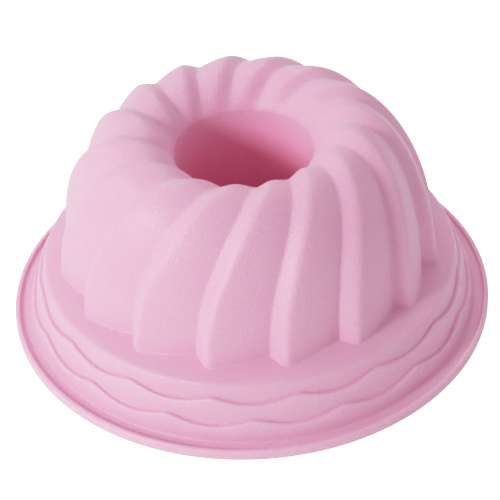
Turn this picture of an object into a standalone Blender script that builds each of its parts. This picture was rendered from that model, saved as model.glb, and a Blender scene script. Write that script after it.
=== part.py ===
"""Swirled ring-cake mould in silicone rubber, standing crown up on its rim.

Pieces: the moulded body, a round-wire stiffening hoop lying in a keyhole
groove on the underside of the rim, and the crimped sleeve that joins the two
ends of the hoop.  Lengths below are millimetres, angles are degrees.
World: metres, +Z up, origin at the centre of the rim's resting plane.
"""
import bpy
import math

MM = 0.001

# ---- flutes -------------------------------------------------------------
FLUTES = 16
FLUTE_PHASE = -171.3          # direction of one flute tip where it meets the ledge
FLUTE_DEPTH = 7.8             # tip to valley at the foot
FLUTE_RUNOUT = 186.0          # crest length over which the depth would reach zero
FLUTE_RUNOUT_POWER = 0.84
FLUTE_FADE = 14.0             # crest length over which the lip swallows the flutes
STEEP_SHARE_FOOT = 0.18       # share of the pitch taken by the steep face, at the foot
STEEP_SHARE_LIP = 0.50
STEEP_SHARE_POWER = 2.2       # keeps the steep face narrow until the crown turns over
LOBE_POWER_LIP = 1.55         # 1 = flat broad face, larger = rounder lobe
SWIRL = 58.8                  # full sweep of the helix
SWIRL_LENGTH = 203.0
SWIRL_POWER = 2.31

# ---- crown section ------------------------------------------------------
FOOT_R = 98.3
FOOT_Z = 35.7
WALL_DRAFT = 2.1
TOP_R = 56.4
TOP_Z = 111.2
TOP_TO_LIP_R = 22.6           # half axes of the inner arc, which stops short of upright
TOP_TO_LIP_Z = 24.5
LIP_ANGLE = 69.0
TUBE_TOP_R = 35.2
TUBE_TOP_Z = 92.5
TUBE_DRAFT = 2.5
TUBE_END_Z = 3.0

# ---- ledge and scalloped skirt -------------------------------------------
LEDGE_R = 107.1               # where ledge and first band would meet unrounded
LEDGE_Z = 33.4
LEDGE_SLOPE = 0.263
SHOULDER_ROUND = 1.2
BAND_SLOPE = 0.2              # outward run per unit of drop
UPPER_HUMP_R = 108.2
UPPER_HUMP_Z = 27.7
UPPER_PHASE = -146.5
LOWER_HUMP_R = 112.5
LOWER_HUMP_Z = 17.3
LOWER_PHASE = -135.3
SWAG_UPPER = 3.9
SWAG_LOWER = 4.1
CUSP_ROUND = 0.12
STEP_UPPER = 2.2
STEP_LOWER = 2.2
STEP_DROP = 1.2

# ---- rim ------------------------------------------------------------------
FLANGE_R = 116.7
FLANGE_Z = 4.8
FLANGE_FILLET = 1.0           # softens the inner corner between skirt and flange
BEAD_IN_R = 121.9
BEAD_LEAN = 0.7               # the bead's inner side leans outward by this much
BEAD_OUT_R = 125.0
BEAD_TOP_Z = 6.6
BEAD_ROUND = 1.1
BEAD_FOOT_ROUND = 1.6         # the bead's outer foot is rounder than its top
MOUTH_R = 115.8
MOUTH_ROUND = 0.6
WALL = 2.0
SKIRT_WALL_R = 0.9 * WALL     # inward and downward shift from skirt to batter side
SKIRT_WALL_Z = 0.6 * WALL

# ---- hoop, sleeve and their groove ----------------------------------------
HOOP_R = 122.2
HOOP_Z = 2.2
WIRE_R = 1.0
GROOVE_R = 1.42
POCKET_R = 2.1
SLEEVE_OUT_R = 1.7
SLEEVE_IN_R = 1.35
SLEEVE_HALF_ANGLE = 3.28
HOOP_GAP_HALF_ANGLE = 0.25
SECTION_SIDES = 8

# ---- mesh density -----------------------------------------------------------
COLS_PER_FLUTE = 6
COLS = FLUTES * COLS_PER_FLUTE
PITCH = 360.0 / FLUTES
CROWN_INNER_ANGLES = (69.0, 58.5, 46.0, 31.0, 15.0, 0.0)
CROWN_OUTER_ANGLES = (75.0, 60.0, 45.0, 32.0, 20.0, 10.0)
TUBE_MID_Z = 50.0
ARC_SAMPLES = 240
SHARP_ANGLE = 32.0            # edges turned more than this are shaded sharp

# ---- finishes ---------------------------------------------------------------
SILICONE = ((0.74, 0.40, 0.56, 1.0), 0.55, 0.0)
SPRING_STEEL = ((0.56, 0.57, 0.58, 1.0), 0.28, 1.0)
SLEEVE_STEEL = ((0.48, 0.48, 0.50, 1.0), 0.38, 1.0)


def clear_objects():
    for obj in list(bpy.data.objects):
        bpy.data.objects.remove(obj, do_unlink=True)


def smoothstep(x, lo, hi):
    t = min(1.0, max(0.0, (x - lo) / (hi - lo)))
    return t * t * (3.0 - 2.0 * t)


def crown_outer(angle):
    """Crest of the outer wall: 0 at the foot, 90 at the top of the crown."""
    a = math.radians(angle)
    z = FOOT_Z + (TOP_Z - FOOT_Z) * math.sin(a)
    wall = FOOT_R - math.tan(math.radians(WALL_DRAFT)) * (z - FOOT_Z)
    return TOP_R + (wall - TOP_R) * math.cos(a), z


def crown_inner(angle):
    """Crest from the top of the crown (0) down to the lip of the hole (LIP_ANGLE)."""
    b = math.radians(angle)
    r = TOP_R - TOP_TO_LIP_R * math.sin(b)
    z = TOP_Z - TOP_TO_LIP_Z * (1.0 - math.cos(b))
    return r, z


def tube_wall(z):
    return TUBE_TOP_R - math.tan(math.radians(TUBE_DRAFT)) * (TUBE_TOP_Z - z)


def arc_table():
    """Crest length from the foot, sampled along the outer then inner arcs."""
    outer = [("outer", 90.0 * k / ARC_SAMPLES) for k in range(ARC_SAMPLES + 1)]
    inner = [("inner", 90.0 * k / ARC_SAMPLES) for k in range(ARC_SAMPLES + 1)]
    table = {}
    length = 0.0
    last = crown_outer(0.0)
    for side, angle in outer + inner:
        point = crown_outer(angle) if side == "outer" else crown_inner(angle)
        length += math.hypot(point[0] - last[0], point[1] - last[1])
        last = point
        table[(side, round(angle * ARC_SAMPLES / 90.0))] = length
    return table


ARC = arc_table()


def crest_length(side, angle):
    return ARC[(side, round(angle * ARC_SAMPLES / 90.0))]


LIP_LENGTH = crest_length("inner", LIP_ANGLE)


def normal_of(curve, angle):
    """Unit normal of a crown curve in the (r, z) plane, pointing to the open air."""
    step = 0.05
    r0, z0 = curve(angle - step)
    r1, z1 = curve(angle + step)
    dr, dz = r1 - r0, z1 - z0
    size = math.hypot(dr, dz)
    return dz / size, -dr / size


def flute_depth(length):
    share = min(1.0, length / FLUTE_RUNOUT)
    fade = 1.0 - smoothstep(length, LIP_LENGTH - FLUTE_FADE, LIP_LENGTH + 0.3 * FLUTE_FADE)
    return FLUTE_DEPTH * (1.0 - share ** FLUTE_RUNOUT_POWER) * fade


def steep_share(length):
    t = min(1.0, length / LIP_LENGTH)
    return STEEP_SHARE_FOOT + (STEEP_SHARE_LIP - STEEP_SHARE_FOOT) * t ** STEEP_SHARE_POWER


def swirl(length):
    t = min(1.0, length / SWIRL_LENGTH)
    return SWIRL * math.sin(0.5 * math.pi * t) ** SWIRL_POWER


def flute_columns(length):
    """(angle, depth share) of every grid column at one crest length."""
    steep = steep_share(length)
    power = 1.0 + (LOBE_POWER_LIP - 1.0) * min(1.0, length / LIP_LENGTH)
    broad = COLS_PER_FLUTE - 2
    columns = []
    for flute in range(FLUTES):
        start = FLUTE_PHASE + PITCH * flute + swirl(length)
        for j in range(broad + 1):
            share = j / broad
            columns.append((start + PITCH * (1.0 - steep) * share, share ** power))
        columns.append((start + PITCH * (1.0 - 0.5 * steep), 0.5))
    return columns


def level_columns():
    """Evenly spaced columns used from the first scallop line down to the rim."""
    offset = (UPPER_PHASE - FLUTE_PHASE) % PITCH
    return [FLUTE_PHASE + offset + PITCH * k / COLS_PER_FLUTE for k in range(COLS)]


def ring(points):
    """(r, z, angle) in millimetres and degrees -> world points in metres."""
    out = []
    for r, z, angle in points:
        a = math.radians(angle)
        out.append((r * math.cos(a) * MM, r * math.sin(a) * MM, z * MM))
    return out


def ledge_z(r):
    return LEDGE_Z + LEDGE_SLOPE * (LEDGE_R - r)


def crown_row(side, angle, inward):
    """One ring of the fluted crown; inward is the distance below the outer skin."""
    curve = crown_outer if side == "outer" else crown_inner
    r, z = curve(angle)
    nr, nz = normal_of(curve, angle)
    length = crest_length(side, angle)
    depth = flute_depth(length)
    row = []
    for phi, share in flute_columns(length):
        cut = depth * share + inward
        row.append((r - nr * cut, z - nz * cut, phi))
    return ring(row)


def foot_row(inward):
    """The flutes run out on the sloping ledge, so the foot follows the ledge."""
    row = []
    for phi, share in flute_columns(0.0):
        r = FOOT_R - FLUTE_DEPTH * share
        row.append((r - inward, ledge_z(r) - 0.8 * inward, phi))
    return ring(row)


def round_row(r, z):
    return ring([(r, z, phi) for phi in level_columns()])


def tube_row(z, inward):
    return ring([(tube_wall(z) + inward, z, phi) for phi, _ in flute_columns(LIP_LENGTH)])


def shoulder_row(r, z):
    """Columns half way between the flute grid above and the level grid below."""
    level = level_columns()
    row = []
    for k, (phi, _) in enumerate(flute_columns(0.0)):
        row.append((r, z, 0.5 * (phi + level[k])))
    return ring(row)


def swag(phi, phase, height):
    """Drop of a scallop line below its humps."""
    wave = math.sin(math.pi * (phi - phase) / PITCH)
    return height * (math.sqrt(wave * wave + CUSP_ROUND ** 2) - CUSP_ROUND)


def scallop_row(upper, beyond, batter_side):
    """A crease line (beyond False) or the edge of the step under it (True)."""
    hump_r = UPPER_HUMP_R if upper else LOWER_HUMP_R
    hump_z = UPPER_HUMP_Z if upper else LOWER_HUMP_Z
    phase = UPPER_PHASE if upper else LOWER_PHASE
    height = SWAG_UPPER if upper else SWAG_LOWER
    step = STEP_UPPER if upper else STEP_LOWER
    row = []
    for phi in level_columns():
        drop = swag(phi, phase, height)
        r = hump_r + BAND_SLOPE * drop
        z = hump_z - drop
        if beyond:
            r += step
            z -= STEP_DROP
        if batter_side:
            r -= SKIRT_WALL_R
            z -= SKIRT_WALL_Z
        row.append((r, z, phi))
    return ring(row)


def groove_section(radius):
    """Keyhole groove section, from its outer mouth corner round to the inner one."""
    points = []
    for k in range(SECTION_SIDES):
        a = math.radians(-67.5 + 45.0 * k)
        points.append((HOOP_R + radius * math.cos(a), HOOP_Z + radius * math.sin(a)))
    first, last = points[0], points[-1]
    return [(first[0], 0.0)] + points + [(last[0], 0.0)]


def groove_rows():
    """The groove widens into a pocket around the sleeve."""
    plain = groove_section(GROOVE_R)
    pocket = groove_section(POCKET_R)
    level = level_columns()
    wide = {COLS - 1, 0, 1}
    rows = []
    for narrow_pt, pocket_pt in zip(plain, pocket):
        points = []
        for k, phi in enumerate(level):
            r, z = pocket_pt if k in wide else narrow_pt
            points.append((r, z, phi))
        rows.append(ring(points))
    return rows


def outer_skin():
    """Rings of the visible side, from the tube's end over the crown to the bead."""
    rows = [tube_row(z, 0.0) for z in (TUBE_END_Z, TUBE_MID_Z, TUBE_TOP_Z)]
    rows += [crown_row("inner", a, 0.0) for a in CROWN_INNER_ANGLES]
    rows += [crown_row("outer", a, 0.0) for a in CROWN_OUTER_ANGLES]
    rows.append(foot_row(0.0))
    rows.append(shoulder_row(LEDGE_R - SHOULDER_ROUND, ledge_z(LEDGE_R - SHOULDER_ROUND)))
    rows.append(shoulder_row(LEDGE_R + BAND_SLOPE * SHOULDER_ROUND, LEDGE_Z - SHOULDER_ROUND))
    rows += [scallop_row(True, False, False), scallop_row(True, True, False)]
    rows += [scallop_row(False, False, False), scallop_row(False, True, False)]
    rows.append(round_row(FLANGE_R - 0.3 * FLANGE_FILLET, FLANGE_Z + FLANGE_FILLET))
    rows.append(round_row(FLANGE_R + 0.7 * FLANGE_FILLET, FLANGE_Z))
    rows.append(round_row(BEAD_IN_R, FLANGE_Z))
    rows.append(round_row(BEAD_IN_R + BEAD_LEAN, BEAD_TOP_Z))
    rows.append(round_row(BEAD_OUT_R - BEAD_ROUND, BEAD_TOP_Z))
    rows.append(round_row(BEAD_OUT_R, BEAD_TOP_Z - BEAD_ROUND))
    rows.append(round_row(BEAD_OUT_R, BEAD_FOOT_ROUND))
    rows.append(round_row(BEAD_OUT_R - BEAD_FOOT_ROUND, 0.0))
    return rows


def batter_skin():
    """Rings of the inside, from the mouth back to the tube's end."""
    rows = [round_row(MOUTH_R + MOUTH_ROUND, 0.0), round_row(MOUTH_R, MOUTH_ROUND)]
    rows += [scallop_row(False, True, True), scallop_row(False, False, True)]
    rows += [scallop_row(True, True, True), scallop_row(True, False, True)]
    rows.append(shoulder_row(LEDGE_R - SKIRT_WALL_R, LEDGE_Z - SKIRT_WALL_Z))
    rows.append(foot_row(WALL))
    rows += [crown_row("outer", a, WALL) for a in reversed(CROWN_OUTER_ANGLES)]
    rows += [crown_row("inner", a, WALL) for a in reversed(CROWN_INNER_ANGLES)]
    rows += [tube_row(z, WALL) for z in (TUBE_TOP_Z, TUBE_MID_Z, TUBE_END_Z)]
    return rows


def make_object(name, verts, faces, finish, slot):
    mesh = bpy.data.meshes.new(name)
    mesh.from_pydata(verts, [], faces)
    mesh.validate()
    mesh.update()
    obj = bpy.data.objects.new(name, mesh)
    bpy.context.scene.collection.objects.link(obj)
    color, roughness, metallic = finish
    mat = bpy.data.materials.new(slot)
    mat.use_nodes = True
    shader = mat.node_tree.nodes["Principled BSDF"]
    shader.inputs["Base Color"].default_value = color
    shader.inputs["Roughness"].default_value = roughness
    shader.inputs["Metallic"].default_value = metallic
    mat.diffuse_color = color
    mesh.materials.append(mat)
    for polygon in mesh.polygons:
        polygon.use_smooth = True
    mesh.set_sharp_from_angle(angle=math.radians(SHARP_ANGLE))
    return obj


def closed_grid(rows, wrap_cols):
    """Quads between successive rings, closing the last ring onto the first."""
    count = len(rows[0])
    verts = [p for row in rows for p in row]
    faces = []
    span = count if wrap_cols else count - 1
    for i in range(len(rows)):
        nxt = (i + 1) % len(rows)
        for j in range(span):
            k = (j + 1) % count
            faces.append((i * count + j, i * count + k, nxt * count + k, nxt * count + j))
    return verts, faces


def build_body():
    rows = outer_skin() + groove_rows() + batter_skin()
    verts, faces = closed_grid(rows, True)
    faces = [tuple(reversed(face)) for face in faces]
    return make_object("mould_body", verts, faces, SILICONE, "silicone")


def section_circle(radius, phi):
    """Section of a round bar lying along the hoop line at one angle."""
    points = []
    for k in range(SECTION_SIDES):
        a = math.radians(-67.5 + 45.0 * k)
        r = HOOP_R + radius * math.cos(a)
        z = HOOP_Z + radius * math.sin(a)
        points.append((r, z, phi))
    return ring(points)


def build_hoop():
    """Round wire bent to a ring, its two ends facing each other in the sleeve."""
    level = level_columns()
    seam = level[0]
    stations = [seam + HOOP_GAP_HALF_ANGLE]
    stations += [seam + 360.0 * k / COLS for k in range(1, COLS)]
    stations.append(seam + 360.0 - HOOP_GAP_HALF_ANGLE)
    verts = []
    faces = []
    for phi in stations:
        verts += section_circle(WIRE_R, phi)
    for i in range(len(stations) - 1):
        for j in range(SECTION_SIDES):
            k = (j + 1) % SECTION_SIDES
            a, b = i * SECTION_SIDES, (i + 1) * SECTION_SIDES
            faces.append((a + j, b + j, b + k, a + k))
    last = (len(stations) - 1) * SECTION_SIDES
    faces.append(tuple(range(SECTION_SIDES)))
    faces.append(tuple(last + j for j in reversed(range(SECTION_SIDES))))
    return make_object("rim_hoop", verts, faces, SPRING_STEEL, "spring_steel")


def build_sleeve():
    """Short crimped tube over the two wire ends."""
    seam = level_columns()[0]
    stations = [seam - SLEEVE_HALF_ANGLE, seam, seam + SLEEVE_HALF_ANGLE]
    outer = [section_circle(SLEEVE_OUT_R, phi) for phi in stations]
    inner = [section_circle(SLEEVE_IN_R, phi) for phi in reversed(stations)]
    verts, faces = closed_grid(outer + inner, True)
    faces = [tuple(reversed(face)) for face in faces]
    return make_object("hoop_sleeve", verts, faces, SLEEVE_STEEL, "sleeve_steel")


def build():
    clear_objects()
    build_body()
    build_hoop()
    build_sleeve()


build()
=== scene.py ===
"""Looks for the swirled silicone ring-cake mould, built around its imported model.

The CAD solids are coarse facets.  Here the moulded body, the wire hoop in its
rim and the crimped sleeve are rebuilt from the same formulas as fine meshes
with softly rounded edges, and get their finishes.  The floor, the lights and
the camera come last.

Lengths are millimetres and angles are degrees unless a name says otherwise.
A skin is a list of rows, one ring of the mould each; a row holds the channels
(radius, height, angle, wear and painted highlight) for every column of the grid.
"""
import math
import bpy
import numpy as np
from mathutils import Matrix, Vector


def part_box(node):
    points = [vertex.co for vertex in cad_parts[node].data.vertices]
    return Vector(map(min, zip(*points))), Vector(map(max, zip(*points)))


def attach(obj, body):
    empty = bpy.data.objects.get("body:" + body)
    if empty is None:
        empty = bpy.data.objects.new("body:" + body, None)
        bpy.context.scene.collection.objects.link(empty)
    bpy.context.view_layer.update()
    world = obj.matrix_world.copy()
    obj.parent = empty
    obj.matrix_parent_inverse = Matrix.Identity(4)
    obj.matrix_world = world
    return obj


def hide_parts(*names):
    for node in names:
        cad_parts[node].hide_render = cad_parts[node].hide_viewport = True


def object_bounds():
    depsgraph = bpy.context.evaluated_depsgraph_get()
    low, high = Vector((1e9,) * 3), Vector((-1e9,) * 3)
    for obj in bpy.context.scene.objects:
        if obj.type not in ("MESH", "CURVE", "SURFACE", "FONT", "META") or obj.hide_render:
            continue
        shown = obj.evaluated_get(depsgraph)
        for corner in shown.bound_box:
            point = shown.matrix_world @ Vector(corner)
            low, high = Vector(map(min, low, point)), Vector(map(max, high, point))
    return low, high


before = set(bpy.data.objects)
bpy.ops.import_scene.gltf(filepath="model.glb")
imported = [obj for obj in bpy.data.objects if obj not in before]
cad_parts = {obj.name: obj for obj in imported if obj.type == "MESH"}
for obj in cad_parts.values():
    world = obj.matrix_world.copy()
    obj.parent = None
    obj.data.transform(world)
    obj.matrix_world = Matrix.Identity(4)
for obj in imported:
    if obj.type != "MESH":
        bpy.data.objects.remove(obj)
cad_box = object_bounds()

MM = 0.001
body_low, body_high = (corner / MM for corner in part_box("mould_body"))
hoop_low, hoop_high = (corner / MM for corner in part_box("rim_hoop"))
sleeve_low, sleeve_high = (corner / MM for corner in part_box("hoop_sleeve"))

# ---- flutes ---------------------------------------------------------------
FLUTES = 16
PITCH = 360.0 / FLUTES
FLUTE_PHASE = -171.3          # direction of one flute tip where it meets the ledge
FLUTE_DEPTH = 7.8             # tip to valley at the foot, before rounding
FLUTE_RUNOUT = 186.0          # crest length over which the depth would reach zero
FLUTE_RUNOUT_POWER = 0.84
FLUTE_FADE = 14.0             # crest length over which the lip swallows the flutes
FLUTE_FADE_PAST = 0.3         # share of that length by which the fading runs past the lip
STEEP_SHARE_FOOT = 0.18       # share of the pitch taken by the steep face
STEEP_SHARE_LIP = 0.50
STEEP_SHARE_POWER = 2.2
LOBE_POWER_LIP = 1.55         # 1 = flat broad face, larger = rounder lobe
SWIRL = 58.8                  # full sweep of the helix
SWIRL_LENGTH = 203.0
SWIRL_POWER = 2.31
CREST_ROUND_FOOT = 4.8        # half width of the rounding along a crest
CREST_ROUND_LIP = 4.4
VALLEY_ROUND_FOOT = 1.2
VALLEY_ROUND_LIP = 3.4
CREST_KEPT = 0.95             # share of the height lost to rounding that is put back
CREST_WEAR_AND_HIGHLIGHT = 0.6              # wear and painted highlight along a crest, and the half width over which they die away
CREST_WEAR_AND_HIGHLIGHT_REACH = 2.5

# ---- crown section -----------------------------------------------------------
FOOT_R = 98.3
FOOT_Z = 35.7
WALL_DRAFT = 2.1
TOP_R = 56.4
TOP_Z = body_high.z
TOP_TO_LIP_R = 22.6
TOP_TO_LIP_Z = 24.5
LIP_TURN = 90.0 + 69.0        # turn is 0 at the foot and 90 at the top of the crown
WALL_TURN = 9.0               # below this turn the rows lean to follow the ledge
TUBE_TOP_R = 35.2
TUBE_TOP_Z = 92.5
TUBE_DRAFT = 2.5
TUBE_END_Z = 3.0
TUBE_SHADE_RISE = 2.0          # the painted shade down the tube starts just above its top and is full this far below
TUBE_SHADE_DEPTH = 28.0        # and is full this far below

# ---- ledge and scalloped skirt --------------------------------------------
LEDGE_R = 107.1
LEDGE_Z = 33.4
LEDGE_SLOPE = 0.263
BAND_SLOPE = 0.2
UPPER_HUMP_R = 108.2
UPPER_HUMP_Z = 27.7
UPPER_PHASE = -146.5
LOWER_HUMP_R = 112.5
LOWER_HUMP_Z = 17.3
LOWER_PHASE = -135.3
SWAG_UPPER = 3.9
SWAG_LOWER = 4.1
CUSP_ROUND = 0.12
STEP_UPPER = 2.2
STEP_LOWER = 2.2
STEP_DROP = 1.2
CREASE_DEPTH = 0.8            # the crease is pressed in as a fine gutter
CREASE_LEAN = 0.2             # the gutter's bottom lies inward by this share of its depth
CREASE_ABOVE = 0.9            # where the band above starts turning into the gutter
SHELF = 1.3                   # where the gutter has come up to the shelf of the step
# wear and painted highlight along the ledge's outer edge
SHOULDER_WEAR_AND_HIGHLIGHT = 0.6

# ---- rim --------------------------------------------------------------------
RIM_R = min(body_high.x, body_high.y, -body_low.x, -body_low.y)
FLANGE_R = 116.7
FLANGE_Z = 4.8
BEAD_IN_R = 121.9
BEAD_LEAN = 0.7               # the bead's inner side leans outward by this much
BEAD_TOP_Z = 6.6
BEAD_FOOT_ROUND = 1.6         # the bead's outer foot is rounder than its top
MOUTH_R = 115.8
WALL = 2.0
SKIRT_WALL_R = 0.9 * WALL     # inward and downward shift from skirt to batter side
SKIRT_WALL_Z = 0.6 * WALL
FOOT_WALL_Z = 0.8 * WALL      # the same shift at the foot of the fluted wall

# ---- how far each corner's rounding reaches along its two sides -----------------
FOOT_REACH = 1.0
SHOULDER_REACH = 2.2
SCALLOP_REACHES = (0.8, 0.55, 0.55, 1.3)                 # band end, gutter, shelf, edge
RIM_REACHES = (1.3, 0.35, 0.7, 1.5, 0.9, 0.3, 0.12)      # flange in to the groove's slot
BATTER_REACHES = (0.12, 0.6, 0.7, 0.7, 0.7, 0.7, 1.0, 1.0)
REACH_LIMIT = 0.48            # a rounding takes at most this share of a side

# ---- hoop, sleeve and their groove --------------------------------------------
WIRE_R = 0.97
WIRE_TO_FLATS = 0.924         # the CAD wire is an octagon
HOOP_R = hoop_high.x - WIRE_TO_FLATS
HOOP_Z = 0.5 * (hoop_low.z + hoop_high.z)
GROOVE_R = 1.42
GROOVE_MOUTH_ANGLE = 67.5     # below the horizontal, where the keyhole's slot begins
POCKET_R = 2.1
POCKET_FULL = 4.1             # half angles over which the pocket narrows to the groove
POCKET_END = 5.2
SLEEVE_OUT_R = 1.62
SLEEVE_IN_R = 1.2
SLEEVE_HALF_ANGLE = 3.28
SLEEVE_CRIMP = 0.2
SLEEVE_CRIMP_PLACE = 0.45     # share of the way from the sleeve's middle to its end
SLEEVE_CRIMP_WIDTH = 0.13
SLEEVE_END_EASE = 0.12        # the sleeve's outer end edges are eased by this much
SLEEVE_EASE_START = 0.93
HOOP_GAP_HALF_ANGLE = 0.25
HOOP_END_SHARE = 0.75         # the wire's ends are broken to this share of its radius
HOOP_END_ANGLE = 0.06
SEAM_ANGLE = math.degrees(math.atan2(sleeve_low.y + sleeve_high.y, sleeve_low.x + sleeve_high.x))

# ---- grid ---------------------------------------------------------------------
BROAD_COLS = 26
STEEP_COLS = 14
COLS_PER_FLUTE = BROAD_COLS + STEEP_COLS
COLS = FLUTES * COLS_PER_FLUTE
BROAD_CROWDING = 0.7          # 0 = even columns, 1 = columns meeting at both ends of a face
STEEP_CROWDING = 0.3
CUSP_CROWDING = 0.5
CURVE_SAMPLES = 1600
ROW_SPACING = 1.0             # along the smooth parts of the outer skin
BATTER_SPACING = 2.0          # along the inside
TUBE_SPACING = 4.0            # down the smooth tube
TUBE_BATTER_SPACING = 6.0
LOWER_WALL_STEPS = 9
FOOT_ROUNDS = 6               # repeats that settle where the flutes meet the ledge
WINDOW_POINTS = 13            # samples across the window that rounds a crest
ARC_STEPS = 5                 # rows across one rounded corner
GROOVE_STEPS = 22
WIRE_SIDES = 18
HOOP_STATIONS = 640
SLEEVE_STEPS = 36
METAL_SHARP_ANGLE = 50.0
BAR_GIRTH = 0.006             # metres round the wire, for its drawing marks

COLUMN = np.arange(COLS) % COLS_PER_FLUTE
FLUTE = np.arange(COLS) // COLS_PER_FLUTE


def crowd(t, amount, bunches=1):
    """0..1 mapped to itself with the steps crowded together at each bunch."""
    return t - amount * np.sin(2.0 * np.pi * bunches * t) / (2.0 * np.pi * bunches)


def smoothstep(x, lo, hi):
    t = np.clip((x - lo) / (hi - lo), 0.0, 1.0)
    return t * t * (3.0 - 2.0 * t)


# ---- crown ----------------------------------------------------------------------
def crown_curve(turn):
    """Crest line (r, z): turn 0 at the foot, 90 at the top, LIP_TURN at the lip."""
    outer = np.radians(np.minimum(turn, 90.0))
    inner = np.radians(np.maximum(turn - 90.0, 0.0))
    rise = (TOP_Z - FOOT_Z) * np.sin(outer)
    wall = FOOT_R - math.tan(math.radians(WALL_DRAFT)) * rise
    r = TOP_R + (wall - TOP_R) * np.cos(outer) - TOP_TO_LIP_R * np.sin(inner)
    z = FOOT_Z + rise - TOP_TO_LIP_Z * (1.0 - np.cos(inner))
    return r, z


def crown_normal(turn):
    step = 0.05
    r0, z0 = crown_curve(turn - step)
    r1, z1 = crown_curve(turn + step)
    size = np.hypot(r1 - r0, z1 - z0)
    return (z1 - z0) / size, (r0 - r1) / size


TURNS = np.linspace(0.0, LIP_TURN, CURVE_SAMPLES)
LENGTHS = np.concatenate(([0.0], np.cumsum(np.hypot(*np.diff(crown_curve(TURNS))))))
LIP_LENGTH = LENGTHS[-1]


def crest_length(turn):
    return np.interp(turn, TURNS, LENGTHS)


def turn_at(length):
    return np.interp(length, LENGTHS, TURNS)


def flute_depth(length):
    share = np.minimum(1.0, length / FLUTE_RUNOUT)
    fade_end = LIP_LENGTH + FLUTE_FADE_PAST * FLUTE_FADE
    fade = 1.0 - smoothstep(length, LIP_LENGTH - FLUTE_FADE, fade_end)
    return FLUTE_DEPTH * (1.0 - share ** FLUTE_RUNOUT_POWER) * fade


def steep_share(length):
    t = np.minimum(1.0, length / LIP_LENGTH)
    return STEEP_SHARE_FOOT + (STEEP_SHARE_LIP - STEEP_SHARE_FOOT) * t ** STEEP_SHARE_POWER


def swirl(length):
    t = np.minimum(1.0, length / SWIRL_LENGTH)
    return SWIRL * np.sin(0.5 * np.pi * t) ** SWIRL_POWER


def sharp_share(u, length):
    """Depth share across one pitch: 0 on the crest at u = 0 and 1, 1 in the valley."""
    u = np.mod(u, 1.0)
    broad = 1.0 - steep_share(length)
    power = 1.0 + (LOBE_POWER_LIP - 1.0) * length / LIP_LENGTH
    return np.where(u < broad, np.minimum(1.0, u / broad) ** power, (1.0 - u) / (1.0 - broad))


def rounded_share(u, length, radius):
    """sharp_share averaged over a window that is wider on crests than in valleys."""
    up = length / LIP_LENGTH
    crest = CREST_ROUND_FOOT + (CREST_ROUND_LIP - CREST_ROUND_FOOT) * up
    valley = VALLEY_ROUND_FOOT + (VALLEY_ROUND_LIP - VALLEY_ROUND_FOOT) * up
    steep = steep_share(length)
    near_valley = np.exp(-((u - 1.0 + steep) / (0.5 * steep)) ** 2)
    pitch = 2.0 * np.pi * radius / FLUTES
    window = (crest + (valley - crest) * near_valley) / pitch
    offsets = np.linspace(-1.0, 1.0, WINDOW_POINTS)
    weights = np.cos(0.5 * np.pi * offsets) ** 2
    total = sum(w * sharp_share(u + window * o, length) for o, w in zip(offsets, weights))
    return total / weights.sum()


def flute_position(length):
    """Place of every column within its flute, crowded at the crest and the valley."""
    steep = steep_share(length)
    broad = crowd(COLUMN / BROAD_COLS, BROAD_CROWDING)
    back = crowd((COLUMN - BROAD_COLS) / STEEP_COLS, STEEP_CROWDING)
    return np.where(COLUMN < BROAD_COLS, (1.0 - steep) * broad, 1.0 - steep + steep * back)


def crown_row(turn, inward=0.0):
    """The fluted skin at one turn, or at one turn for each column."""
    turn = np.broadcast_to(np.asarray(turn, float), (COLS,))
    r, z = crown_curve(turn)
    nr, nz = crown_normal(turn)
    length = crest_length(turn)
    u = flute_position(length)
    depth = flute_depth(length)
    share = rounded_share(u, length, r)
    cut = depth * (share - CREST_KEPT * share.min()) + inward
    from_crest = np.minimum(u, 1.0 - u) * 2.0 * np.pi * r / FLUTES
    # wear and painted highlight, strongest on the crest and fading with the flutes' depth
    wear_and_highlight = CREST_WEAR_AND_HIGHLIGHT * np.exp(-(from_crest / CREST_WEAR_AND_HIGHLIGHT_REACH) ** 2) * depth / FLUTE_DEPTH
    angle = FLUTE_PHASE + PITCH * (FLUTE + u) + swirl(length)
    return np.array([r - nr * cut, z - nz * cut, angle, wear_and_highlight])


def ledge_z(r):
    return LEDGE_Z + LEDGE_SLOPE * (LEDGE_R - r)


def foot_turn():
    """Turn at which each column of the fluted wall meets the sloping ledge."""
    turn = np.zeros(COLS)
    for _ in range(FOOT_ROUNDS):
        r, z = crown_row(turn)[:2]
        turn = np.maximum(0.0, turn + np.degrees((ledge_z(r) - z) / (TOP_Z - FOOT_Z)))
    return turn


# ---- skirt and rim ---------------------------------------------------------------
def level_angles():
    """Columns below the ledge, crowded at the cusps of both scallop lines."""
    offset = (UPPER_PHASE - FLUTE_PHASE) % PITCH
    place = crowd(COLUMN / COLS_PER_FLUTE, CUSP_CROWDING, 2)
    return FLUTE_PHASE + offset + PITCH * (FLUTE + place)


LEVEL = level_angles()


def flat_row(r, z, wear_and_highlight=0.0, angle=LEVEL):
    full = np.ones(COLS)
    return np.array([r * full, z * full, angle * full, wear_and_highlight * full])


def swag(phase, height):
    """Drop of a scallop line below its humps."""
    wave = np.sin(np.pi * (LEVEL - phase) / PITCH)
    return height * (np.sqrt(wave * wave + CUSP_ROUND ** 2) - CUSP_ROUND)


UPPER_SCALLOP = (UPPER_HUMP_R, UPPER_HUMP_Z, UPPER_PHASE, SWAG_UPPER, STEP_UPPER)
LOWER_SCALLOP = (LOWER_HUMP_R, LOWER_HUMP_Z, LOWER_PHASE, SWAG_LOWER, STEP_LOWER)


def scallop_line(scallop):
    hump_r, hump_z, phase, height, step = scallop
    drop = swag(phase, height)
    return hump_r + BAND_SLOPE * drop, hump_z - drop, step


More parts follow.
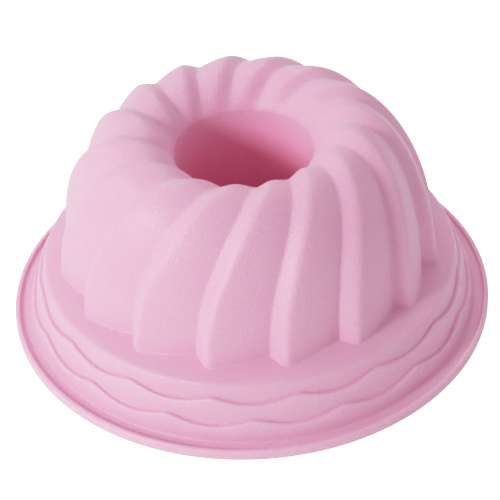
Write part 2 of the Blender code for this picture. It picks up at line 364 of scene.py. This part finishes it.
def outer_scallop(scallop):
    """Band end, gutter bottom, shelf and edge of one scalloped step."""
    r, z, step = scallop_line(scallop)
    return [
        flat_row(r - BAND_SLOPE * CREASE_ABOVE, z + CREASE_ABOVE),
        flat_row(r - CREASE_LEAN * CREASE_DEPTH, z - CREASE_DEPTH),
        flat_row(r + SHELF, z - 0.5 * STEP_DROP),
        # the step's edge carries full wear and painted highlight
        flat_row(r + step, z - STEP_DROP, 1.0),
    ]


def batter_scallop(scallop):
    """The same step seen from the batter side, where it has only two soft lines."""
    r, z, step = scallop_line(scallop)
    r = r - SKIRT_WALL_R
    z = z - SKIRT_WALL_Z
    return [flat_row(r + step, z - STEP_DROP), flat_row(r, z)]


def shoulder_row(r, z):
    """The ledge's outer edge, its columns half way between the flutes' and the skirt's."""
    return flat_row(r, z, SHOULDER_WEAR_AND_HIGHLIGHT, 0.5 * (crown_row(0.0)[2] + LEVEL))


def groove_radius():
    """The groove widens into a pocket around the sleeve."""
    away = np.abs((LEVEL - SEAM_ANGLE + 180.0) % 360.0 - 180.0)
    return POCKET_R + (GROOVE_R - POCKET_R) * smoothstep(away, POCKET_FULL, POCKET_END)


def groove_arc():
    radius = groove_radius()
    rows = []
    for k in range(GROOVE_STEPS + 1):
        share = k / GROOVE_STEPS
        a = math.radians(-GROOVE_MOUTH_ANGLE + (180.0 + 2.0 * GROOVE_MOUTH_ANGLE) * share)
        rows.append(flat_row(HOOP_R + radius * math.cos(a), HOOP_Z + radius * math.sin(a)))
    return rows


def towards(start, end, reach):
    """The point that lies reach away from start on the way to end."""
    length = np.hypot(end[0] - start[0], end[1] - start[1])
    return start + (end - start) * np.minimum(REACH_LIMIT, reach / length)


def straight_rows(start, end, spacing):
    """Rows after start, up to but without end."""
    length = np.hypot(end[0] - start[0], end[1] - start[1]).mean()
    count = max(1, round(length / spacing))
    return [start + (end - start) * k / count for k in range(count)]


def rounded_path(corners, reaches, spacing):
    """Rows along a broken line whose inner corners are softened; reach is the length
    taken from each side of a corner.  The last corner is left to what follows."""
    rows = []
    start = corners[0]
    for before, corner, after, reach in zip(corners, corners[1:], corners[2:], reaches):
        enter = towards(corner, before, reach)
        leave = towards(corner, after, reach)
        rows += straight_rows(start, enter, spacing)
        for k in range(ARC_STEPS):
            t = k / ARC_STEPS
            rows.append((1 - t) ** 2 * enter + 2 * t * (1 - t) * corner + t * t * leave)
        start = leave
    return rows + straight_rows(start, corners[-1], spacing)


# ---- the two skins of the body ------------------------------------------------
def tube_radius(z):
    return TUBE_TOP_R - math.tan(math.radians(TUBE_DRAFT)) * (TUBE_TOP_Z - z)


def tube_row(z, inward=0.0):
    lip = crown_row(LIP_TURN)
    return flat_row(tube_radius(z) + inward, z, 0.0, lip[2])


def crown_rows(low_turn, spacing, inward):
    """Rows of the crown from the lip out and down to a turn on the outer wall."""
    low = crest_length(low_turn)
    count = round((LIP_LENGTH - low) / spacing)
    lengths = np.linspace(LIP_LENGTH, low, count + 1)
    return [crown_row(turn_at(length), inward) for length in lengths]


def lower_wall(inward):
    """The lowest part of the fluted wall, each column reaching its own foot."""
    feet = foot_turn()
    between = [WALL_TURN + (feet - WALL_TURN) * k / LOWER_WALL_STEPS
               for k in range(1, LOWER_WALL_STEPS)]
    return [crown_row(turn, inward) for turn in between + [feet]]


def outer_skin():
    tube = straight_rows(tube_row(TUBE_END_Z), tube_row(TUBE_TOP_Z), TUBE_SPACING)
    tube += straight_rows(tube_row(TUBE_TOP_Z), crown_row(LIP_TURN), ROW_SPACING)
    wall = lower_wall(0.0)
    foot = wall[-1]
    foot[1] = ledge_z(foot[0])
    foot[3] = 0.0
    corners = [wall[-3], foot, shoulder_row(LEDGE_R, LEDGE_Z)]
    corners += outer_scallop(UPPER_SCALLOP) + outer_scallop(LOWER_SCALLOP)
    corners += [
        flat_row(FLANGE_R, FLANGE_Z),
        flat_row(BEAD_IN_R, FLANGE_Z),
        # the bead's top and outer side carry full wear and painted highlight
        flat_row(BEAD_IN_R + BEAD_LEAN, BEAD_TOP_Z, 1.0),
        flat_row(RIM_R, BEAD_TOP_Z, 1.0),
        flat_row(RIM_R, BEAD_FOOT_ROUND, 1.0),
        flat_row(RIM_R - BEAD_FOOT_ROUND, 0.0),
    ]
    mouth, slot_top = groove_mouth(1.0)
    corners += [mouth, slot_top]
    reaches = (FOOT_REACH, SHOULDER_REACH) + 2 * SCALLOP_REACHES + RIM_REACHES
    path = rounded_path(corners, reaches, ROW_SPACING)
    return tube + crown_rows(WALL_TURN, ROW_SPACING, 0.0) + wall[:-3] + path


def groove_mouth(side):
    """Corner of the slot on the resting plane, and the slot's top, on one side of it."""
    radius = groove_radius()
    half = radius * math.cos(math.radians(GROOVE_MOUTH_ANGLE))
    top = HOOP_Z - radius * math.sin(math.radians(GROOVE_MOUTH_ANGLE))
    return flat_row(HOOP_R + side * half, 0.0), flat_row(HOOP_R + side * half, top)


def batter_skin():
    mouth, slot_top = groove_mouth(-1.0)
    wall = lower_wall(WALL)
    foot = crown_row(foot_turn())
    foot[0] -= WALL
    foot[1] = ledge_z(foot[0] + WALL) - FOOT_WALL_Z
    corners = [slot_top, mouth, flat_row(MOUTH_R, 0.0)]
    corners += batter_scallop(LOWER_SCALLOP) + batter_scallop(UPPER_SCALLOP)
    corners += [shoulder_row(LEDGE_R - SKIRT_WALL_R, LEDGE_Z - SKIRT_WALL_Z), foot, wall[-3]]
    path = rounded_path(corners, BATTER_REACHES, BATTER_SPACING)
    crown = crown_rows(WALL_TURN, BATTER_SPACING, WALL)[::-1]
    tube_end = tube_row(TUBE_END_Z, WALL)
    tube = straight_rows(tube_row(TUBE_TOP_Z, WALL), tube_end, TUBE_BATTER_SPACING)
    return path[1:] + wall[:-2][::-1] + crown + tube + [tube_end]


# ---- meshes -----------------------------------------------------------------------
def to_world(rows):
    """Rows of (r, z, angle, ...) in millimetres and degrees -> points in metres."""
    grid = np.array(rows)
    r, z, angle = grid[:, 0], grid[:, 1], np.radians(grid[:, 2])
    return np.stack([r * np.cos(angle), r * np.sin(angle), z], axis=-1) * MM


def grid_faces(rows, cols, wrap_rows, wrap_cols):
    i = np.arange(rows if wrap_rows else rows - 1)[:, None]
    j = np.arange(cols if wrap_cols else cols - 1)[None, :]
    i2 = (i + 1) % rows
    j2 = (j + 1) % cols
    quads = [i * cols + j, i2 * cols + j, i2 * cols + j2, i * cols + j2]
    return np.stack(quads, axis=-1).reshape(-1, 4)


def make_piece(name, points, faces, material):
    mesh = bpy.data.meshes.new(name)
    mesh.from_pydata(points.reshape(-1, 3).tolist(), [], [list(face) for face in faces])
    mesh.update()
    mesh.shade_smooth()
    mesh.materials.append(material)
    piece = bpy.data.objects.new(name, mesh)
    bpy.context.scene.collection.objects.link(piece)
    return piece


def add_attribute(piece, name, values):
    layer = piece.data.attributes.new(name, "FLOAT", "POINT")
    layer.data.foreach_set("value", np.asarray(values, np.float32).ravel())


def build_body(material):
    rows = outer_skin() + groove_arc() + batter_skin()
    points = to_world(rows)
    faces = grid_faces(len(rows), COLS, True, True)
    body = make_piece("silicone_mould", points, faces.tolist(), material)
    # wear and painted highlight for each ring, read by the silicone's shader
    add_attribute(body, "wear_and_highlight", np.array(rows)[:, 3])
    radius, height = np.array(rows)[:, :2].swapaxes(0, 1)
    # painted shade: the inside of the tube gets a deeper crimson below its top
    on_tube = radius < tube_radius(height) + 0.5 * WALL
    depth = (TUBE_TOP_Z + TUBE_SHADE_RISE - height) / TUBE_SHADE_DEPTH
    add_attribute(body, "tube_painted_shade", np.where(on_tube, np.clip(depth, 0.0, 1.0), 0.0))
    return body


def bar_section(radius, angle):
    """Section of a round bar lying along the hoop, as one row for to_world."""
    a = 2.0 * np.pi * np.arange(WIRE_SIDES) / WIRE_SIDES
    full = np.ones(WIRE_SIDES)
    return np.array([HOOP_R + radius * np.cos(a), HOOP_Z + radius * np.sin(a), angle * full])


def add_bar_uv(piece, stations, length):
    """UV in metres: u along the bar, v around it, so drawing marks run along it."""
    layer = piece.data.uv_layers.new(name="bar")
    for loop in piece.data.loops:
        station, side = divmod(loop.vertex_index, WIRE_SIDES)
        layer.data[loop.index].uv = (length * station / stations, BAR_GIRTH * side / WIRE_SIDES)


def build_hoop(material):
    """Round wire whose two ends, slightly broken at the edge, face each other."""
    start = SEAM_ANGLE + HOOP_GAP_HALF_ANGLE
    end = SEAM_ANGLE + 360.0 - HOOP_GAP_HALF_ANGLE
    angles = np.linspace(start, end, HOOP_STATIONS + 1)
    rows = [bar_section(HOOP_END_SHARE * WIRE_R, start - HOOP_END_ANGLE)]
    rows += [bar_section(WIRE_R, angle) for angle in angles]
    rows.append(bar_section(HOOP_END_SHARE * WIRE_R, end + HOOP_END_ANGLE))
    faces = grid_faces(len(rows), WIRE_SIDES, False, True).tolist()
    last = (len(rows) - 1) * WIRE_SIDES
    faces.append(list(range(WIRE_SIDES)))
    faces.append([last + k for k in reversed(range(WIRE_SIDES))])
    hoop = make_piece("hoop_wire", to_world(rows), faces, material)
    add_bar_uv(hoop, len(rows), 2.0 * math.pi * HOOP_R * MM)
    hoop.data.set_sharp_from_angle(angle=math.radians(METAL_SHARP_ANGLE))
    return hoop


def sleeve_radius(along, radius):
    """Two crimps pinch the sleeve, one on each side of its middle."""
    crimp = math.exp(-((abs(along) - SLEEVE_CRIMP_PLACE) / SLEEVE_CRIMP_WIDTH) ** 2)
    return radius - SLEEVE_CRIMP * crimp


def build_sleeve(material):
    """Open tube around the wire's joint: out along its outside, back along its bore."""
    shares = [-1.0 + 2.0 * k / SLEEVE_STEPS for k in range(SLEEVE_STEPS + 1)]
    rows = []
    for share in shares:
        ease = SLEEVE_END_EASE * smoothstep(abs(share), SLEEVE_EASE_START, 1.0)
        radius = sleeve_radius(share, SLEEVE_OUT_R) - ease
        rows.append(bar_section(radius, SEAM_ANGLE + SLEEVE_HALF_ANGLE * share))
    for share in reversed(shares):
        radius = sleeve_radius(share, SLEEVE_IN_R)
        rows.append(bar_section(radius, SEAM_ANGLE + SLEEVE_HALF_ANGLE * share))
    faces = grid_faces(len(rows), WIRE_SIDES, True, True).tolist()
    sleeve = make_piece("crimped_sleeve", to_world(rows), faces, material)
    length = 2.0 * math.radians(SLEEVE_HALF_ANGLE) * HOOP_R * MM
    add_bar_uv(sleeve, len(rows), 2.0 * length)
    sleeve.data.set_sharp_from_angle(angle=math.radians(METAL_SHARP_ANGLE))
    return sleeve


# ---- materials ----------------------------------------------------------------------
class Nodes:
    """Small helper to lay out one material's node tree."""

    def __init__(self, name):
        self.material = bpy.data.materials.new(name)
        self.material.use_nodes = True
        self.tree = self.material.node_tree
        self.shader = self.tree.nodes["Principled BSDF"]

    def add(self, kind, **settings):
        node = self.tree.nodes.new(kind)
        for key, value in settings.items():
            setattr(node, key, value)
        return node

    def link(self, out_socket, in_socket):
        self.tree.links.new(out_socket, in_socket)

    def noise(self, coordinates, scale, detail, roughness):
        node = self.add("ShaderNodeTexNoise")
        node.inputs["Scale"].default_value = scale
        node.inputs["Detail"].default_value = detail
        node.inputs["Roughness"].default_value = roughness
        self.link(coordinates, node.inputs["Vector"])
        return node.outputs["Fac"]

    def remap(self, value, from_low, from_high, to_low, to_high):
        node = self.add("ShaderNodeMapRange")
        for key, number in (("From Min", from_low), ("From Max", from_high),
                            ("To Min", to_low), ("To Max", to_high)):
            node.inputs[key].default_value = number
        self.link(value, node.inputs["Value"])
        return node.outputs["Result"]

    def math(self, operation, a, b):
        node = self.add("ShaderNodeMath", operation=operation)
        for socket, value in zip(node.inputs, (a, b)):
            if isinstance(value, (int, float)):
                socket.default_value = value
            else:
                self.link(value, socket)
        return node.outputs["Value"]

    @staticmethod
    def colour_inputs(node):
        """A Mix node has an A and a B socket for every data type; these two are RGBA."""
        return [socket for socket in node.inputs if socket.type == "RGBA"]

    def mix(self, factor, color_a, color_b):
        node = self.add("ShaderNodeMix", data_type="RGBA")
        self.link(factor, node.inputs["Factor"])
        for socket, value in zip(self.colour_inputs(node), (color_a, color_b)):
            if isinstance(value, tuple):
                socket.default_value = value
            else:
                self.link(value, socket)
        return next(socket for socket in node.outputs if socket.type == "RGBA")

    def bump(self, height, distance, strength):
        node = self.add("ShaderNodeBump")
        node.inputs["Distance"].default_value = distance
        node.inputs["Strength"].default_value = strength
        self.link(height, node.inputs["Height"])
        return node.outputs["Normal"]

    def set(self, **values):
        for key, value in values.items():
            self.shader.inputs[key.replace("_", " ")].default_value = value


PINK_LOW = (0.810, 0.350, 0.525, 1.0)
PINK_HIGH = (0.830, 0.372, 0.548, 1.0)
PALE_PINK = (0.93, 0.60, 0.76, 1.0)     # grain tips, and the painted highlight on crests, step edges, the shoulder and the bead
# painted shade: the deeper crimson that the inside of the tube is mixed toward
TUBE_SHADE_PINK = (0.885, 0.285, 0.470, 1.0)
CLOUD_SCALE = 16.0                      # noise scales are features per metre
SMEAR_SCALE = 90.0
PEBBLE_SCALE = 520.0
GRAIN_SCALE = 1150.0
PEBBLE_SHARE = 0.35                     # height of the pebble against that of the grain
GRAIN_HEIGHT = 0.00038                  # metres
GRAIN_STRENGTH = 0.8
GRAIN_PALENESS = 0.16
# how much paler the painted highlight makes crests, step edges, the shoulder and the bead
EDGE_PAINTED_HIGHLIGHT = 0.22
EDGE_POLISH = 0.12                      # how much smoother the handled edges are
SILICONE_ROUGH_LOW = 0.33
SILICONE_ROUGH_HIGH = 0.43


def silicone():
    """Matte moulded silicone: a fine spark-eroded grain, a faint cloudiness in the pigment,
    slightly smoother edges where it has been handled, a painted highlight that makes those
    edges paler, and a painted shade that deepens the tone down the tube."""
    n = Nodes("silicone_pink")
    place = n.add("ShaderNodeTexCoord").outputs["Object"]
    grain = n.noise(place, GRAIN_SCALE, 1.0, 0.5)
    pebble = n.noise(place, PEBBLE_SCALE, 1.0, 0.4)
    cloud = n.noise(place, CLOUD_SCALE, 3.0, 0.5)
    smear = n.noise(place, SMEAR_SCALE, 2.0, 0.5)
    wear_and_highlight = n.add("ShaderNodeAttribute", attribute_name="wear_and_highlight").outputs["Fac"]
    tube_shade = n.add("ShaderNodeAttribute", attribute_name="tube_painted_shade").outputs["Fac"]
    edge = n.math("POWER", wear_and_highlight, 2.0)
    body = n.mix(n.remap(cloud, 0.3, 0.7, 0.0, 1.0), PINK_LOW, PINK_HIGH)
    speckled = n.mix(n.remap(grain, 0.42, 0.72, 0.0, GRAIN_PALENESS), body, PALE_PINK)
    # painted highlight: crests, step edges, the shoulder and the bead are mixed toward pale pink
    edge_highlighted = n.mix(n.math("MULTIPLY", edge, EDGE_PAINTED_HIGHLIGHT), speckled, PALE_PINK)
    # painted shade: down the tube the colour is mixed toward a deeper crimson
    n.link(n.mix(tube_shade, edge_highlighted, TUBE_SHADE_PINK), n.shader.inputs["Base Color"])
    rough = n.remap(smear, 0.3, 0.7, SILICONE_ROUGH_LOW, SILICONE_ROUGH_HIGH)
    polish = n.math("MULTIPLY", edge, EDGE_POLISH)
    n.link(n.math("SUBTRACT", rough, polish), n.shader.inputs["Roughness"])
    height = n.math("ADD", grain, n.math("MULTIPLY", pebble, PEBBLE_SHARE))
    n.link(n.bump(height, GRAIN_HEIGHT, GRAIN_STRENGTH), n.shader.inputs["Normal"])
    n.set(Subsurface_Weight=0.30, Subsurface_Radius=(1.0, 0.25, 0.36), Subsurface_Scale=0.0030,
          IOR=1.41, Specular_IOR_Level=0.5, Sheen_Weight=0.20, Sheen_Roughness=0.5)
    return n.material


WIRE_STEEL = (0.56, 0.57, 0.58)
SLEEVE_STEEL = (0.48, 0.48, 0.50)
MARK_TONE = 0.82                        # a drawing mark is this much darker
MARKS_ALONG = 60.0                      # marks per metre along the bar and across it
MARKS_ACROSS = 5200.0
MARK_HEIGHT = 0.00002


def drawn_steel(name, colour, rough_low, rough_high):
    """Steel with marks that run along the bar, from drawing it through a die."""
    n = Nodes(name)
    place = n.add("ShaderNodeTexCoord").outputs["UV"]
    stretch = n.add("ShaderNodeMapping")
    stretch.inputs["Scale"].default_value = (MARKS_ALONG, MARKS_ACROSS, 1.0)
    n.link(place, stretch.inputs["Vector"])
    marks = n.noise(stretch.outputs["Vector"], 1.0, 4.0, 0.6)
    tone = n.mix(n.remap(marks, 0.3, 0.7, 0.0, 1.0),
                 tuple(MARK_TONE * c for c in colour) + (1.0,), colour + (1.0,))
    n.link(tone, n.shader.inputs["Base Color"])
    n.link(n.remap(marks, 0.3, 0.7, rough_low, rough_high), n.shader.inputs["Roughness"])
    n.link(n.bump(marks, MARK_HEIGHT, 0.6), n.shader.inputs["Normal"])
    n.set(Metallic=1.0)
    return n.material


PAPER_LOW = (0.93, 0.93, 0.93, 1.0)
PAPER_HIGH = (0.95, 0.95, 0.95, 1.0)
FLOOR_OVEREXPOSED = 3.0


def pale_floor():
    """Pale paper that shows overexposed, as a studio sweep does, yet lights the mould
    only by what it reflects."""
    n = Nodes("floor_pale")
    place = n.add("ShaderNodeTexCoord").outputs["Object"]
    tone = n.mix(n.noise(place, 3.0, 2.0, 0.5), PAPER_LOW, PAPER_HIGH)
    n.link(tone, n.shader.inputs["Base Color"])
    seen = n.add("ShaderNodeLightPath").outputs["Is Camera Ray"]
    n.link(n.math("MULTIPLY", seen, FLOOR_OVEREXPOSED), n.shader.inputs["Emission Strength"])
    n.set(Roughness=0.9, Specular_IOR_Level=0.1, Emission_Color=(1.0, 1.0, 1.0, 1.0))
    return n.material


# ---- stage, lights and camera ---------------------------------------------------------
def build_floor():
    """A seamless sweep: flat under the mould, curving up far behind it."""
    half_width = 3.0
    front, bend, radius, wall_top = -3.0, 2.2, 1.0, 3.0
    level = -0.0002               # just clear of the rim, so no two faces coincide
    profile = [(front, level), (bend, level)]
    profile += [(bend + radius * math.sin(a), level + radius * (1.0 - math.cos(a)))
                for a in np.linspace(0.0, 0.5 * math.pi, 17)[1:]]
    profile.append((bend + radius, wall_top))
    points = np.array([[(x, y, z) for x in (-half_width, half_width)] for y, z in profile])
    faces = grid_faces(len(profile), 2, False, False)[:, ::-1]
    floor = make_piece("floor", points, faces.tolist(), pale_floor())


def aim_at(obj, target):
    obj.rotation_euler = (target - obj.location).to_track_quat("-Z", "Y").to_euler()


SKY_STRENGTH = 0.49
SOFTBOX_DISTANCE = 2.2        # metres from the middle of the mould
SOFTBOXES = (                 # name, azimuth from +X towards +Y, elevation, metres wide, watts
    ("key", 222.0, 25.0, 0.5, 34.0),
    ("left_fill", 175.0, 35.0, 1.3, 12.5),
    ("back_fill", 92.0, 50.0, 1.3, 13.0),
    ("right_fill", 12.0, 20.0, 1.3, 5.0),
)


def add_softbox(name, azimuth, elevation, size, watts, target):
    light = bpy.data.lights.new(name, "AREA")
    light.shape = "DISK"
    light.size = size
    light.energy = watts
    box = bpy.data.objects.new(name, light)
    a, e = math.radians(azimuth), math.radians(elevation)
    away = Vector((math.cos(a) * math.cos(e), math.sin(a) * math.cos(e), math.sin(e)))
    box.location = target + away * SOFTBOX_DISTANCE
    bpy.context.scene.collection.objects.link(box)
    aim_at(box, target)


def build_lights(centre):
    """A small hard key from the front left, broad soft fills from the other sides, and
    an even grey sky."""
    world = bpy.data.worlds.new("studio")
    world.use_nodes = True
    sky = world.node_tree.nodes["Background"]
    sky.inputs["Color"].default_value = (1.0, 1.0, 1.0, 1.0)
    sky.inputs["Strength"].default_value = SKY_STRENGTH
    bpy.context.scene.world = world
    for name, azimuth, elevation, size, watts in SOFTBOXES:
        add_softbox(name, azimuth, elevation, size, watts, centre)


SHOULDER_START = 0.36         # scene brightness up to which the picture stays linear
SHOULDER_WHITE = 4.0          # scene brightness that becomes white
SHOULDER_POINTS = 14


def shoulder(x):
    """Film-like roll-off: straight at first, then ever flatter up to white."""
    if x <= SHOULDER_START:
        return x
    room = 1.0 - SHOULDER_START
    full = 1.0 - math.exp(-(SHOULDER_WHITE - SHOULDER_START) / room)
    return SHOULDER_START + room * (1.0 - math.exp(-(x - SHOULDER_START) / room)) / full


def set_tone():
    """Highlights roll off as they do on film, so lit rubber goes pale, not hot pink."""
    view = bpy.context.scene.view_settings
    view.view_transform = "Standard"
    view.use_curve_mapping = True
    mapping = view.curve_mapping
    mapping.white_level = (SHOULDER_WHITE, SHOULDER_WHITE, SHOULDER_WHITE)
    points = mapping.curves[3].points
    points[0].location = (0.0, 0.0)
    points[1].location = (1.0, 1.0)
    for k in range(1, SHOULDER_POINTS):
        share = (k / SHOULDER_POINTS) ** 2
        points.new(share, shoulder(share * SHOULDER_WHITE))
    mapping.update()


CAMERA_ELEVATION = 38.82
CAMERA_ROLL = -3.0
CAMERA_DISTANCE = 1.0356      # metres
CAMERA_LENS = 142.79          # on a 36 mm sensor
AIM_HEIGHT = 0.278            # share of the mould's height
AIM_X = 0.0004                # metres
CAMERA_FAR = 50.0


def build_camera(low, high):
    camera = bpy.data.cameras.new("camera")
    camera.sensor_width = 36.0
    camera.lens = CAMERA_LENS
    camera.clip_end = CAMERA_FAR
    eye = bpy.data.objects.new("camera", camera)
    elevation = math.radians(CAMERA_ELEVATION)
    roll = math.radians(CAMERA_ROLL)
    forward = Vector((0.0, math.cos(elevation), -math.sin(elevation)))
    side = Vector((1.0, 0.0, 0.0))
    upward = side.cross(forward)
    right = math.cos(roll) * side + math.sin(roll) * upward
    up = math.cos(roll) * upward - math.sin(roll) * side
    aim = Vector((AIM_X, 0.0, low.z + AIM_HEIGHT * (high.z - low.z)))
    turn = Matrix((right, up, -forward)).transposed()
    eye.matrix_world = Matrix.Translation(aim - forward * CAMERA_DISTANCE) @ turn.to_4x4()
    bpy.context.scene.collection.objects.link(eye)
    bpy.context.scene.camera = eye


def dress(piece, node):
    """The piece rides with the mould and stands for its CAD node, which is hidden."""
    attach(piece, "root")
    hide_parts(node)


wire_finish = drawn_steel("steel_wire", WIRE_STEEL, 0.22, 0.36)
sleeve_finish = drawn_steel("steel_sleeve", SLEEVE_STEEL, 0.32, 0.46)
dress(build_body(silicone()), "mould_body")
dress(build_hoop(wire_finish), "rim_hoop")
dress(build_sleeve(sleeve_finish), "hoop_sleeve")
low, high = cad_box
build_floor()
build_lights((low + high) * 0.5)
build_camera(low, high)
set_tone()
